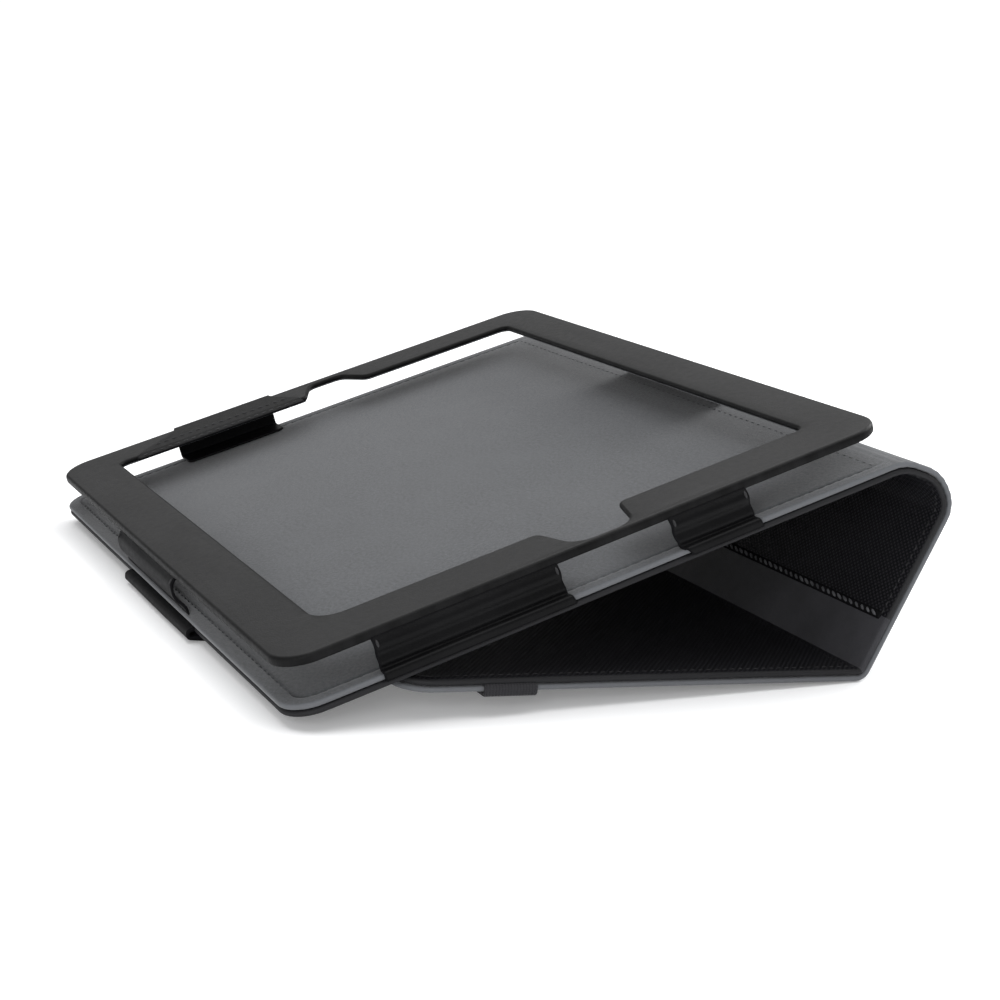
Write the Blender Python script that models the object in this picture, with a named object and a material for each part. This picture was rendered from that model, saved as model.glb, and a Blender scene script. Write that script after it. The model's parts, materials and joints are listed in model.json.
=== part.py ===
"""Folio case for a tablet of the 9.7 inch class, standing on its folded-back cover.

The holder (back panel, frame and side walls) leans on a table.  Its soft spine, two strips
between three folds, bends round behind it to the cover, which is folded once and lies under
the holder as a prop.  +X runs along the case's long edge, +Y from the low edge to the spine,
+Z up, and the table is at Z = 0.

Every section of leather is a flat stack in its own flat frame: X across the case, Y along the
sheet away from the section's hinge and Z towards the lining.
"""
import math

import bmesh
import bpy
from mathutils import Matrix, Vector

MM = 0.001
GAP = 0.3 * MM                      # clearance between pieces that touch

# Size of the whole case
CASE_WIDTH = 248.4 * MM
HALF_WIDTH = CASE_WIDTH / 2
TILT = math.radians(17.9)           # holder above the table

# The tablet that the pocket is made for
TABLET_THICKNESS = 9.4 * MM
TABLET_PLAY = 0.4 * MM

# Layers of a stiffened leather sheet, from the outer skin to the lining
SKIN = 0.8 * MM
BOARD = 1.5 * MM
LINING = 0.9 * MM
SHEET = SKIN + BOARD + LINING + 2 * GAP
HALF_SHEET = SHEET / 2
BOARD_LOW = SKIN + GAP
BOARD_HIGH = BOARD_LOW + BOARD
SHEET_CORNER = 10 * MM
SMALL_CORNER = 1.5 * MM

# Folds: a sheet stops short of its fold's axis by the reach, and the fold is a soft round strip
FOLD_REACH = 2.2 * MM
FOLD_RADIUS = HALF_SHEET

# Back panel and frame of the holder, in the holder's flat frame
PANEL_DEPTH = 192.8 * MM
FRAME_WIDTH = 243 * MM
FRAME_DEPTH = 191 * MM
FRAME_LOW = 1.6 * MM
FRAME_CORNER = 11 * MM
FRAME_LINING = 0.5 * MM
FRAME_BOARD = 0.54 * MM
FRAME_SKIN = 0.6 * MM
FRAME_LIP = 2.84 * MM               # height of the frame's turned-down edge
FRAME_UNDER = SHEET + TABLET_THICKNESS + TABLET_PLAY
FRAME_BOARD_LOW = FRAME_UNDER + FRAME_LINING + GAP
FRAME_SKIN_LOW = FRAME_BOARD_LOW + FRAME_BOARD + GAP
FRAME_TOP = FRAME_SKIN_LOW + FRAME_SKIN

# Side walls between the frame and the back panel: how far each is set in from the frame's
# edge, how far it bows outwards and how far its foot stands out
WALL = 0.9 * MM
WALL_FOOT = SHEET + GAP
WALL_TOP = FRAME_TOP - FRAME_LIP - GAP
WALL_TOE = 1.0 * MM
WALL_STEPS = 8
NEAR_WALL_LOW = (27 * MM, 83 * MM)
NEAR_WALL_HIGH = (118 * MM, 143.5 * MM)
END_WALL = (-37 * MM, 28 * MM)
NEAR_WALL_SHAPE = (0.2 * MM, 0.7 * MM, 1.2 * MM)
LOW_WALL_SHAPE = (1.0 * MM, 2.1 * MM, 0.6 * MM)
SPINE_WALL_SHAPE = (1.6 * MM, 0.3 * MM, 0.2 * MM)

# Closure tab, lying on the table under the low edge
TAB_SKIN = 0.5 * MM
TAB_CORE = 0.8 * MM
TAB = 2 * TAB_SKIN + TAB_CORE + 2 * GAP
TAB_HALF = TAB / 2
TAB_X = (-32 * MM, 38 * MM)
TAB_BRIDGE = 19.8 * MM
TAB_TIP = 26 * MM
TAB_REACH = TAB_HALF + GAP
TAB_CORNER = 9 * MM
TAB_ROUNDING = 1.1 * MM
MAGNET_RADIUS = 5.5 * MM
MAGNET_SPACING = 22 * MM
MAGNET_Y = 15 * MM
EDGE_LIFT = TAB + GAP               # low edge of the holder above the table
TAB_ROOT = (-1.8 * MM, 1.3 * MM)    # its first fold, in the holder's flat frame

# Spine and cover
SPINE_INNER = 12.8 * MM             # from the spine's first fold axis to the middle one
SPINE_INNER_ANGLE = math.radians(-18.3)
STAND_FOLD_Y = 176.6 * MM
UPPER_COVER = 55.8 * MM
UPPER_ANGLE = math.radians(62.9)    # upper cover above the table
LOWER_COVER = 146.5 * MM
STRIP_WIDTH = 14.7 * MM             # plain strip of the upper cover, next to the stand fold
WELT_RADIUS = 0.8 * MM
STRAP_WIDTH = 16 * MM
STRAP_THICKNESS = 1.0 * MM
STRAP_FROM_FOLD = 115 * MM
PLATE_SIZE = (62 * MM, 9 * MM)
PLATE_FROM_END = 17 * MM

# Tuck-in flap on the far short side
FLAP_SHEET = 0.8 * MM
FLAP_HALF = FLAP_SHEET / 2
FLAP_DROP = 0.15 * MM               # of its root fold below the frame's top
FLAP_X = -FRAME_WIDTH / 2 - GAP - FLAP_HALF
FLAP_Z = FRAME_TOP - FLAP_HALF - FLAP_DROP
FLAP_Y = (46 * MM, 84 * MM)
FLAP_PATCH_Y = (26 * MM, 91 * MM)
FLAP_PATCH_X = -101 * MM
FLAP_SIDE = 10.55 * MM
FLAP_TUCK = 9.9 * MM
FLAP_REACH = FLAP_HALF + GAP
FLAP_TUCK_REACH = 2.0 * MM          # wider, because this fold closes up as the flap is opened
FLAP_CORNER = 2 * MM


def heading(angle):
    return Vector((math.cos(angle), math.sin(angle)))


def holder_point(y, z):
    """Point of the holder's flat frame in the plane across the case."""
    return Vector((0, EDGE_LIFT)) + heading(TILT) * y + heading(TILT + math.pi / 2) * z


# Fold axes in the plane across the case, as (Y, Z) before the model is centred
SPINE_AXIS = holder_point(PANEL_DEPTH + FOLD_REACH, HALF_SHEET)
SPINE_MIDDLE_AXIS = SPINE_AXIS + heading(SPINE_INNER_ANGLE) * SPINE_INNER
STAND_AXIS = Vector((STAND_FOLD_Y, FOLD_RADIUS))
COVER_AXIS = STAND_AXIS + heading(UPPER_ANGLE) * UPPER_COVER
SPINE_OUTER = (COVER_AXIS - SPINE_MIDDLE_AXIS).length
SPINE_OUTER_ANGLE = math.atan2(*(COVER_AXIS - SPINE_MIDDLE_AXIS).yx)
COVER_ANGLE = UPPER_ANGLE - math.pi
TAB_ROOT_AXIS = holder_point(*TAB_ROOT)
TAB_LINK = TAB_ROOT_AXIS.y - TAB_HALF
TAB_AXIS = TAB_ROOT_AXIS - Vector((0, TAB_LINK))


def prop_rise():
    """Angle of the lower cover above the table, its free edge just under the back panel."""
    offset = math.sin(TILT) * STAND_AXIS.x - math.cos(TILT) * (STAND_AXIS.y - EDGE_LIFT) - GAP
    reach = math.hypot(LOWER_COVER, HALF_SHEET)
    return math.asin(offset / reach) - math.atan2(HALF_SHEET, LOWER_COVER) - TILT


PROP_RISE = prop_rise()
PROP_ANGLE = -math.pi - PROP_RISE

# The model is centred on the box of the whole case
LOWEST_Y = holder_point(FRAME_LOW, FRAME_TOP).x
HIGHEST_Y = COVER_AXIS.x + FOLD_RADIUS
CENTRE_Y = (LOWEST_Y + HIGHEST_Y) / 2

# Ways to turn an extruded outline: the outline's two axes and the way it is extruded
FLAT = Matrix.Identity(4)
ALONG_X = Matrix(((0, 0, 1, 0), (1, 0, 0, 0), (0, 1, 0, 0), (0, 0, 0, 1)))
ALONG_Y = Matrix(((1, 0, 0, 0), (0, 0, -1, 0), (0, 1, 0, 0), (0, 0, 0, 1)))


def clear_scene():
    for obj in list(bpy.data.objects):
        bpy.data.objects.remove(obj, do_unlink=True)


def new_collection(name):
    collection = bpy.data.collections.new(name)
    bpy.context.scene.collection.children.link(collection)
    return collection


clear_scene()
PARTS = new_collection("tablet_folio_case")
CUTTERS = new_collection("cutters")


def new_material(name, colour, roughness, metallic=0.0):
    material = bpy.data.materials.new(name)
    material.use_nodes = True
    shader = material.node_tree.nodes["Principled BSDF"]
    shader.inputs["Base Color"].default_value = (*colour, 1.0)
    shader.inputs["Roughness"].default_value = roughness
    shader.inputs["Metallic"].default_value = metallic
    return material


FRAME_LEATHER = new_material("frame_leather", (0.035, 0.035, 0.037), 0.55)
WALL_LEATHER = new_material("wall_leather", (0.022, 0.022, 0.024), 0.35)
TEXTILE = new_material("woven_textile", (0.018, 0.018, 0.022), 0.85)
SUEDE = new_material("suede_lining", (0.085, 0.087, 0.092), 0.9)
STRIP_LEATHER = new_material("strip_leather", (0.04, 0.04, 0.044), 0.6)
CARDBOARD = new_material("stiffener_board", (0.32, 0.27, 0.21), 0.9)
ELASTIC = new_material("elastic_webbing", (0.03, 0.03, 0.035), 0.9)
STEEL = new_material("steel", (0.55, 0.56, 0.58), 0.35, 1.0)


# ---------------------------------------------------------------- outlines

def rounded(corners):
    """Outline through corners given as (x, y, radius), each rounded to its radius."""
    points = []
    count = len(corners)
    for index, (x, y, radius) in enumerate(corners):
        corner = Vector((x, y))
        before = Vector(corners[index - 1][:2]) - corner
        after = Vector(corners[(index + 1) % count][:2]) - corner
        if radius <= 0:
            points.append(corner)
            continue
        half = before.angle(after) / 2
        start = corner + before.normalized() * radius / math.tan(half)
        end = corner + after.normalized() * radius / math.tan(half)
        middle = corner + (before.normalized() + after.normalized()).normalized() * radius / math.sin(half)
        sweep = (start - middle).angle_signed(end - middle)
        steps = max(2, round(abs(sweep) / math.radians(18)))
        for step in range(steps + 1):
            turn = Matrix.Rotation(-sweep * step / steps, 2)
            points.append(middle + turn @ (start - middle))
    return points


def rectangle(x_range, y_range, low_radius, high_radius, inset=0.0):
    """Rounded rectangle, with its own radius at its low and at its high corners."""
    x_low, x_high = x_range[0] + inset, x_range[1] - inset
    y_low, y_high = y_range[0] + inset, y_range[1] - inset
    low_radius = max(low_radius - inset, 0.5 * MM)
    high_radius = max(high_radius - inset, 0.5 * MM)
    return rounded([
        (x_low, y_low, low_radius),
        (x_high, y_low, low_radius),
        (x_high, y_high, high_radius),
        (x_low, y_high, high_radius),
    ])


def grown(outline, margin):
    """Outline with every side moved outwards; it runs anticlockwise."""
    points = []
    for index, corner in enumerate(outline):
        before = (corner - outline[index - 1]).normalized()
        after = (outline[(index + 1) % len(outline)] - corner).normalized()
        normals = Vector((before.y + after.y, -before.x - after.x))
        points.append(corner + normals * margin / (1 + before.dot(after)))
    return points


def band(path, thickness):
    """Closed outline of a sheet of one thickness whose middle follows a path."""
    sides = ([], [])
    for index, point in enumerate(path):
        ahead = path[min(index + 1, len(path) - 1)]
        behind = path[max(index - 1, 0)]
        normal = (ahead - behind).orthogonal().normalized()
        sides[0].append(point + normal * thickness / 2)
        sides[1].append(point - normal * thickness / 2)
    return sides[0] + sides[1][::-1]


# ---------------------------------------------------------------- solids

def add_object(name, mesh, parent, material, collection=None):
    obj = bpy.data.objects.new(name, mesh)
    (collection or PARTS).objects.link(obj)
    obj.parent = parent
    if material:
        mesh.materials.append(material)
    return obj


def extruded_mesh(name, outlines, low, high, turn):
    """Mesh of flat outlines, later ones being holes, extruded from low to high and turned."""
    curve = bpy.data.curves.new(name, "CURVE")
    curve.dimensions = "2D"
    curve.fill_mode = "BOTH"
    curve.extrude = (high - low) / 2
    for outline in outlines:
        spline = curve.splines.new("POLY")
        spline.points.add(len(outline) - 1)
        for point, place in zip(spline.points, outline):
            point.co = (place.x, place.y, 0, 1)
        spline.use_cyclic_u = True
    guide = bpy.data.objects.new(name, curve)
    PARTS.objects.link(guide)
    depsgraph = bpy.context.evaluated_depsgraph_get()
    mesh = bpy.data.meshes.new_from_object(guide.evaluated_get(depsgraph))
    bpy.data.objects.remove(guide)
    bpy.data.curves.remove(curve)
    mesh.transform(turn @ Matrix.Translation((0, 0, (low + high) / 2)))
    shell = bmesh.new()
    shell.from_mesh(mesh)
    bmesh.ops.remove_doubles(shell, verts=shell.verts, dist=0.00001)
    bmesh.ops.recalc_face_normals(shell, faces=shell.faces)
    shell.to_mesh(mesh)
    shell.free()
    mesh.name = name
    return mesh


def extrusion(name, outlines, low, high, parent, material, turn=FLAT):
    return add_object(name, extruded_mesh(name, outlines, low, high, turn), parent, material)


def cut(target, name, outlines, low, high, turn=FLAT):
    """Take an extruded shape away from a part."""
    cutter = add_object(name, extruded_mesh(name, outlines, low, high, turn), target.parent, None, CUTTERS)
    cutter.hide_render = True
    cutter.display_type = "WIRE"
    modifier = target.modifiers.new(name, "BOOLEAN")
    modifier.operation = "DIFFERENCE"
    modifier.object = cutter


def rod(name, radius, span, place, parent, material, turn=ALONG_X, sides=16):
    """Round strip along a fold: place is the fold's two coordinates, span its start and end."""
    shell = bmesh.new()
    bmesh.ops.create_cone(
        shell, cap_ends=True, segments=sides, radius1=radius, radius2=radius, depth=span[1] - span[0],
        matrix=turn @ Matrix.Translation((place[0], place[1], (span[0] + span[1]) / 2)))
    mesh = bpy.data.meshes.new(name)
    shell.to_mesh(mesh)
    shell.free()
    mesh.shade_smooth()
    mesh.set_sharp_from_angle(angle=math.radians(40))
    return add_object(name, mesh, parent, material)


def skin_tray(name, outline, inner, floor, height, parent, material):
    """Outer skin whose edges are turned up round the board."""
    tray = extrusion(name, [outline], 0, height, parent, material)
    cut(tray, name + "_hollow", [inner], floor, height + 5 * MM)
    return tray


def sheet_outline(start, end, low_radius, high_radius, inset=0.0):
    return rectangle((-HALF_WIDTH, HALF_WIDTH), (start, end), low_radius, high_radius, inset)


def stiff_sheet(prefix, start, end, low_radius, high_radius, parent, skin_material):
    """Skin, board and lining of one stiff section; returns the board."""
    inset = SKIN + GAP
    radii = (low_radius, high_radius)
    outline = sheet_outline(start, end, *radii)
    hollow = sheet_outline(start, end, *radii, SKIN)
    skin_tray(prefix + "_skin", outline, hollow, SKIN, BOARD_HIGH, parent, skin_material)
    board_outline = sheet_outline(start, end, *radii, inset)
    board = extrusion(prefix + "_board", [board_outline], BOARD_LOW, BOARD_HIGH, parent, CARDBOARD)
    extrusion(prefix + "_lining", [outline], BOARD_HIGH + GAP, SHEET, parent, SUEDE)
    return board


# ---------------------------------------------------------------- frames of the sections

def section_frame(name, parent, y, z, angle, drop):
    """Empty on a fold's axis, and under it the flat frame of the sheet that starts there."""
    hinge = bpy.data.objects.new(name + "_hinge", None)
    PARTS.objects.link(hinge)
    hinge.parent = parent
    hinge.location = (0, y, z)
    hinge.rotation_euler = (angle, 0, 0)
    sheet = bpy.data.objects.new(name + "_sheet", None)
    PARTS.objects.link(sheet)
    sheet.parent = hinge
    sheet.location = (0, 0, -drop)
    return hinge, sheet


def build_frames():
    centre = bpy.data.objects.new("case_centre", None)
    PARTS.objects.link(centre)
    centre.location = (0, -CENTRE_Y, 0)
    frames = {}
    frames["holder"] = section_frame("holder", centre, 0, EDGE_LIFT, TILT, 0)
    frames["spine_inner"] = section_frame("spine_inner", centre, *SPINE_AXIS, SPINE_INNER_ANGLE, HALF_SHEET)
    middle = SPINE_MIDDLE_AXIS
    frames["spine_outer"] = section_frame("spine_outer", centre, *middle, SPINE_OUTER_ANGLE, HALF_SHEET)
    frames["upper"] = section_frame("upper_cover", centre, *COVER_AXIS, COVER_ANGLE, HALF_SHEET)
    frames["lower"] = section_frame("lower_cover", centre, *STAND_AXIS, PROP_ANGLE, HALF_SHEET)
    frames["root"] = section_frame("tab_root", centre, *TAB_ROOT_AXIS, -math.pi / 2, 0)
    frames["bridge"] = section_frame("tab_bridge", centre, *TAB_AXIS, 0, TAB_HALF)
    frames["tip"] = section_frame("tab_tip", centre, TAB_AXIS.x + TAB_BRIDGE, TAB_AXIS.y, 0, TAB_HALF)
    return frames


# ---------------------------------------------------------------- holder

def build_back(holder):
    stiff_sheet("back", 0, PANEL_DEPTH, SHEET_CORNER, SMALL_CORNER, holder, TEXTILE)


def window_outline():
    """Window of the frame, with a notch for the home button and one for the camera."""
    x_far, x_near = -104.5 * MM, 102 * MM
    y_low, y_high = 20 * MM, 176 * MM
    home_low, home_high = 87 * MM, 113 * MM
    home_depth, home_taper, home_corner = 17 * MM, 4 * MM, 7 * MM
    camera_low, camera_high = 93 * MM, 117 * MM
    camera_depth, camera_taper, camera_corner = 12.5 * MM, 6 * MM, 4 * MM
    corner, wide_corner = 3 * MM, 8 * MM
    return rounded([
        (x_far, y_low, corner),
        (x_near, y_low, wide_corner),
        (x_near, home_low, corner),
        (x_near + home_depth, home_low + home_taper, home_corner),
        (x_near + home_depth, home_high - home_taper, home_corner),
        (x_near, home_high, corner),
        (x_near, y_high, corner),
        (x_far, y_high, corner),
        (x_far, camera_high, corner),
        (x_far - camera_depth, camera_high - camera_taper, camera_corner),
        (x_far - camera_depth, camera_low + camera_taper, camera_corner),
        (x_far, camera_low, 0),
    ])


def frame_outline(inset=0.0):
    half = FRAME_WIDTH / 2
    return rectangle((-half, half), (FRAME_LOW, FRAME_LOW + FRAME_DEPTH), FRAME_CORNER, FRAME_CORNER, inset)


def flap_patch_outline():
    """Trapezoid of the tuck flap's sewn end on the far bar, wider towards the window."""
    outer = FLAP_X + FLAP_REACH
    return [
        Vector((outer, FLAP_Y[0])),
        Vector((FLAP_PATCH_X, FLAP_PATCH_Y[0])),
        Vector((FLAP_PATCH_X, FLAP_PATCH_Y[1])),
        Vector((outer, FLAP_Y[1])),
    ]


def build_frame(holder):
    window = window_outline()
    lip_low = FRAME_TOP - FRAME_LIP
    skin = extrusion("frame_skin", [frame_outline(), window], lip_low, FRAME_TOP, holder, FRAME_LEATHER)
    cut(skin, "frame_hollow", [frame_outline(FRAME_SKIN)], lip_low - 5 * MM, FRAME_SKIN_LOW)
    cut(skin, "flap_recess", [grown(flap_patch_outline(), GAP)], FRAME_SKIN_LOW - GAP, FRAME_TOP + 5 * MM)
    inside = frame_outline(FRAME_SKIN + GAP)
    board_high = FRAME_BOARD_LOW + FRAME_BOARD
    extrusion("frame_board", [inside, window], FRAME_BOARD_LOW, board_high, holder, CARDBOARD)
    lining_high = FRAME_UNDER + FRAME_LINING
    extrusion("frame_lining", [inside, window], FRAME_UNDER, lining_high, holder, SUEDE)


def wall_section(frame_edge, outward, shape):
    """Section of a side wall as (distance, height), from the frame down to its sewn foot."""
    inset, bow, spread = shape
    height = WALL_TOP - WALL_FOOT - WALL / 2
    path = []
    for step in range(WALL_STEPS + 1):
        part = step / WALL_STEPS
        swing = bow * math.sin(math.pi * part) + spread * part - inset
        path.append(Vector((frame_edge + outward * swing, WALL_TOP - height * part)))
    path.append(path[-1] + Vector((outward * WALL_TOE, 0)))
    return band(path, WALL)


def build_walls(holder):
    side = wall_section(FRAME_WIDTH / 2, 1, NEAR_WALL_SHAPE)
    for name, span in (("near_wall_low", NEAR_WALL_LOW), ("near_wall_high", NEAR_WALL_HIGH)):
        extrusion(name, [side], -span[1], -span[0], holder, WALL_LEATHER, ALONG_Y)
    low = wall_section(FRAME_LOW, -1, LOW_WALL_SHAPE)
    extrusion("low_wall", [low], *END_WALL, holder, WALL_LEATHER, ALONG_X)
    high = wall_section(FRAME_LOW + FRAME_DEPTH, 1, SPINE_WALL_SHAPE)
    extrusion("spine_wall", [high], *END_WALL, holder, WALL_LEATHER, ALONG_X)


def build_flap(holder):
    """Tuck-in flap: sewn on the far bar, over its edge, down the side and in under the tablet."""
    patch = [flap_patch_outline()]
    extrusion("flap_patch", patch, FRAME_SKIN_LOW, FRAME_TOP, holder, WALL_LEATHER)
    along = (-FLAP_Y[1], -FLAP_Y[0])
    root = bpy.data.objects.new("flap_side_hinge", None)
    PARTS.objects.link(root)
    root.parent = holder
    root.location = (FLAP_X, 0, FLAP_Z)
    rod("flap_root_fold", FLAP_HALF, along, (0, 0), root, WALL_LEATHER, ALONG_Y, 12)
    side = rounded([
        (-FLAP_HALF, -FLAP_SIDE + FLAP_TUCK_REACH, 0),
        (FLAP_HALF, -FLAP_SIDE + FLAP_TUCK_REACH, 0),
        (FLAP_HALF, -FLAP_REACH, 0),
        (-FLAP_HALF, -FLAP_REACH, 0),
    ])
    extrusion("flap_side", [side], *along, root, WALL_LEATHER, ALONG_Y)
    toe = bpy.data.objects.new("flap_tuck_hinge", None)
    PARTS.objects.link(toe)
    toe.parent = root
    toe.location = (0, 0, -FLAP_SIDE)
    rod("flap_tuck_fold", FLAP_HALF, along, (0, 0), toe, WALL_LEATHER, ALONG_Y, 12)
    tuck = rectangle((FLAP_TUCK_REACH, FLAP_TUCK), FLAP_Y, FLAP_CORNER, FLAP_CORNER)
    extrusion("flap_tuck", [tuck], -FLAP_HALF, FLAP_HALF, toe, WALL_LEATHER)


# ---------------------------------------------------------------- spine and cover

def full_width_rod(name, hinge, material):
    rod(name, FOLD_RADIUS, (-HALF_WIDTH, HALF_WIDTH), (0, 0), hinge, material)


def build_spine_strip(name, fold_name, length, frames):
    """One strip of the spine, textile and lining with no board between them, and its fold."""
    hinge, sheet = frames
    outline = sheet_outline(FOLD_REACH, length - FOLD_REACH, SMALL_CORNER, SMALL_CORNER)
    extrusion(name + "_skin", [outline], 0, BOARD_HIGH, sheet, TEXTILE)
    extrusion(name + "_lining", [outline], BOARD_HIGH + GAP, SHEET, sheet, SUEDE)
    full_width_rod(fold_name, hinge, SUEDE)


def build_upper_cover(hinge, sheet):
    start = FOLD_REACH
    end = UPPER_COVER - FOLD_REACH
    strip_start = end - STRIP_WIDTH
    seam = WELT_RADIUS + GAP
    textile_end = strip_start - 2 * seam
    inset = SKIN + GAP
    for name, span, material in (("upper_cover", (start, textile_end), TEXTILE),
                                 ("cover_strip", (strip_start, end), STRIP_LEATHER)):
        outline = sheet_outline(*span, SMALL_CORNER, SMALL_CORNER)
        hollow = sheet_outline(*span, SMALL_CORNER, SMALL_CORNER, SKIN)
        skin_tray(name + "_skin", outline, hollow, SKIN, BOARD_HIGH, sheet, material)
        board = sheet_outline(*span, SMALL_CORNER, SMALL_CORNER, inset)
        extrusion(name + "_board", [board], BOARD_LOW, BOARD_HIGH, sheet, CARDBOARD)
    lining = sheet_outline(start, end, SMALL_CORNER, SMALL_CORNER)
    extrusion("upper_cover_lining", [lining], BOARD_HIGH + GAP, SHEET, sheet, SUEDE)
    welt_place = (textile_end + seam, WELT_RADIUS)
    rod("seam_welt", WELT_RADIUS, (-HALF_WIDTH, HALF_WIDTH), welt_place, sheet, STRIP_LEATHER)
    full_width_rod("cover_fold", hinge, SUEDE)


def build_lower_cover(hinge, sheet):
    board = stiff_sheet("lower_cover", FOLD_REACH, LOWER_COVER, SMALL_CORNER, SHEET_CORNER, sheet, TEXTILE)
    middle = LOWER_COVER - PLATE_FROM_END
    x_range = (-PLATE_SIZE[0] / 2, PLATE_SIZE[0] / 2)
    y_range = (middle - PLATE_SIZE[1] / 2, middle + PLATE_SIZE[1] / 2)
    plate = rectangle(x_range, y_range, SMALL_CORNER, SMALL_CORNER)
    pocket = rectangle(x_range, y_range, SMALL_CORNER, SMALL_CORNER, -GAP)
    cut(board, "plate_pocket", [pocket], 0, SHEET)
    extrusion("catch_plate", [plate], BOARD_LOW, BOARD_HIGH, sheet, STEEL)
    strap_y = (STRAP_FROM_FOLD - STRAP_WIDTH / 2, STRAP_FROM_FOLD + STRAP_WIDTH / 2)
    strap = rectangle((-HALF_WIDTH, HALF_WIDTH), strap_y, 0, 0)
    strap_low = SHEET + GAP
    extrusion("hand_strap", [strap], strap_low, strap_low + STRAP_THICKNESS, sheet, ELASTIC)
    full_width_rod("stand_fold", hinge, STRIP_LEATHER)


# ---------------------------------------------------------------- closure tab

def tab_layers(prefix, start, end, high_radius, sheet):
    """Lining, core and leather of one section of the tab; returns the core."""
    outline = rectangle(TAB_X, (start, end), SMALL_CORNER, high_radius)
    core_low = TAB_SKIN + GAP
    core_high = core_low + TAB_CORE
    extrusion(prefix + "_lining", [outline], 0, TAB_SKIN, sheet, SUEDE)
    extrusion(prefix + "_leather", [outline], core_high + GAP, TAB, sheet, WALL_LEATHER)
    core = extrusion(prefix + "_core", [outline], core_low, core_high, sheet, CARDBOARD)
    return core, core_low, core_high


def disc(x, y, radius):
    steps = 24
    turns = [2 * math.pi * step / steps for step in range(steps)]
    return [Vector((x + radius * math.cos(turn), y + radius * math.sin(turn))) for turn in turns]


def build_tab(root_sheet, bridge_sheet, tip_frames):
    tip_hinge, tip_sheet = tip_frames
    along = (-TAB_HALF, TAB_LINK + TAB_HALF)
    link = rectangle(along, (-TAB_HALF, TAB_HALF), TAB_ROUNDING, TAB_ROUNDING)
    extrusion("tab_root_fold", [link], *TAB_X, root_sheet, WALL_LEATHER, ALONG_X)
    tab_layers("tab_bridge", TAB_REACH, TAB_BRIDGE - TAB_REACH, SMALL_CORNER, bridge_sheet)
    core, low, high = tab_layers("tab_tip", TAB_REACH, TAB_TIP, TAB_CORNER, tip_sheet)
    rod("tab_tip_fold", TAB_HALF, TAB_X, (0, 0), tip_hinge, WALL_LEATHER)
    tab_middle = (TAB_X[0] + TAB_X[1]) / 2
    for name, side in (("tab_magnet_far", -1), ("tab_magnet_near", 1)):
        x = tab_middle + side * MAGNET_SPACING / 2
        cut(core, name + "_pocket", [disc(x, MAGNET_Y, MAGNET_RADIUS + GAP)], 0, TAB)
        extrusion(name, [disc(x, MAGNET_Y, MAGNET_RADIUS)], low, high, tip_sheet, STEEL)


def build_case():
    frames = build_frames()
    holder = frames["holder"][1]
    build_back(holder)
    build_frame(holder)
    build_walls(holder)
    build_flap(holder)
    build_spine_strip("spine_inner", "spine_fold", SPINE_INNER, frames["spine_inner"])
    build_spine_strip("spine_outer", "spine_middle_fold", SPINE_OUTER, frames["spine_outer"])
    build_upper_cover(*frames["upper"])
    build_lower_cover(*frames["lower"])
    build_tab(frames["root"][1], frames["bridge"][1], frames["tip"])


build_case()
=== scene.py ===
"""Looks of a tablet folio case that stands on its folded-back cover.

Most pieces are sheets that follow a line: the case's long run (back panel, spine and cover), the
side walls, the tuck-in flap, the closure tab and the elastic strap.  Lengths are in metres.
"""

import bisect
import json
import math

import bmesh
import bpy
import numpy as np
from mathutils import Matrix, Vector
from mathutils.geometry import delaunay_2d_cdt


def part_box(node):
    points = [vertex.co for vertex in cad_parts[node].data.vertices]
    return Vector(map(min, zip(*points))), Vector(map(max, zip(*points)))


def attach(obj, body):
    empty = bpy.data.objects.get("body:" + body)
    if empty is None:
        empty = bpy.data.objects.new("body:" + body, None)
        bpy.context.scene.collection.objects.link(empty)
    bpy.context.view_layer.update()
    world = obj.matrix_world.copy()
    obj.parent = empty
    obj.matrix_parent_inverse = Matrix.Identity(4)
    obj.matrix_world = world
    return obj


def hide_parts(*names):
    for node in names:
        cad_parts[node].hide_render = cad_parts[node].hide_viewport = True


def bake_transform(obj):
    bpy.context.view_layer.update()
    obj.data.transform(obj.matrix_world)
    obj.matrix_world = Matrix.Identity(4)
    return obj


MM = 0.001
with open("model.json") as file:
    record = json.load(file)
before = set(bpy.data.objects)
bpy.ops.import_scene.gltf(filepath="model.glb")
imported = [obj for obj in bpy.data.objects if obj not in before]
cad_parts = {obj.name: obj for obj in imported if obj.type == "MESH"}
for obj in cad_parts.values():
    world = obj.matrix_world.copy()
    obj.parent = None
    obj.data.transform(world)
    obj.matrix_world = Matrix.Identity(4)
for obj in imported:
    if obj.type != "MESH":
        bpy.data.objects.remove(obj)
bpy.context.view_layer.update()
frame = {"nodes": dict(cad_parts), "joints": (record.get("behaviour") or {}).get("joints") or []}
SCENE = bpy.context.scene
CLOTH_UV = "cloth"

# Layers of the run, as heights above its middle surface, lining side up
SKIN_LAYER = (-1.9 * MM, 0.0)
LINING_LAYER = (0.2 * MM, 1.9 * MM)
SKIN_HALF = 124.2 * MM
LINING_HALF = 124.0 * MM
SKIN_ROUNDING = 1.25 * MM
LINING_ROUNDING = 0.8 * MM
SHEET_CORNER = 10 * MM
HALF_SHEET = 1.9 * MM
PANEL_LENGTH = 195 * MM             # low edge to the spine's first fold axis
LOWER_COVER = 146.5 * MM
SEAM_FROM_FOLD = 37.8 * MM          # cover fold to the seam between textile and strip
STITCH_PITCH = 3.4 * MM
STITCH_INSET = 4.5 * MM             # stitches from the lining's edge
SKIN_INSET = 3.2 * MM               # and from the skin's
CROSS_ROW = 119 * MM                # half length of a row of stitches across the cover
EDGE_FADE = 0.9 * MM                # the materials' edge value runs out this far from an edge
FINE_STITCH = {"pitch": 2.6 * MM, "length": 1.9 * MM, "width": 0.4 * MM}


# ---------------- places from the CAD

JOINTS = {joint["name"]: joint for joint in frame["joints"]}


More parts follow.
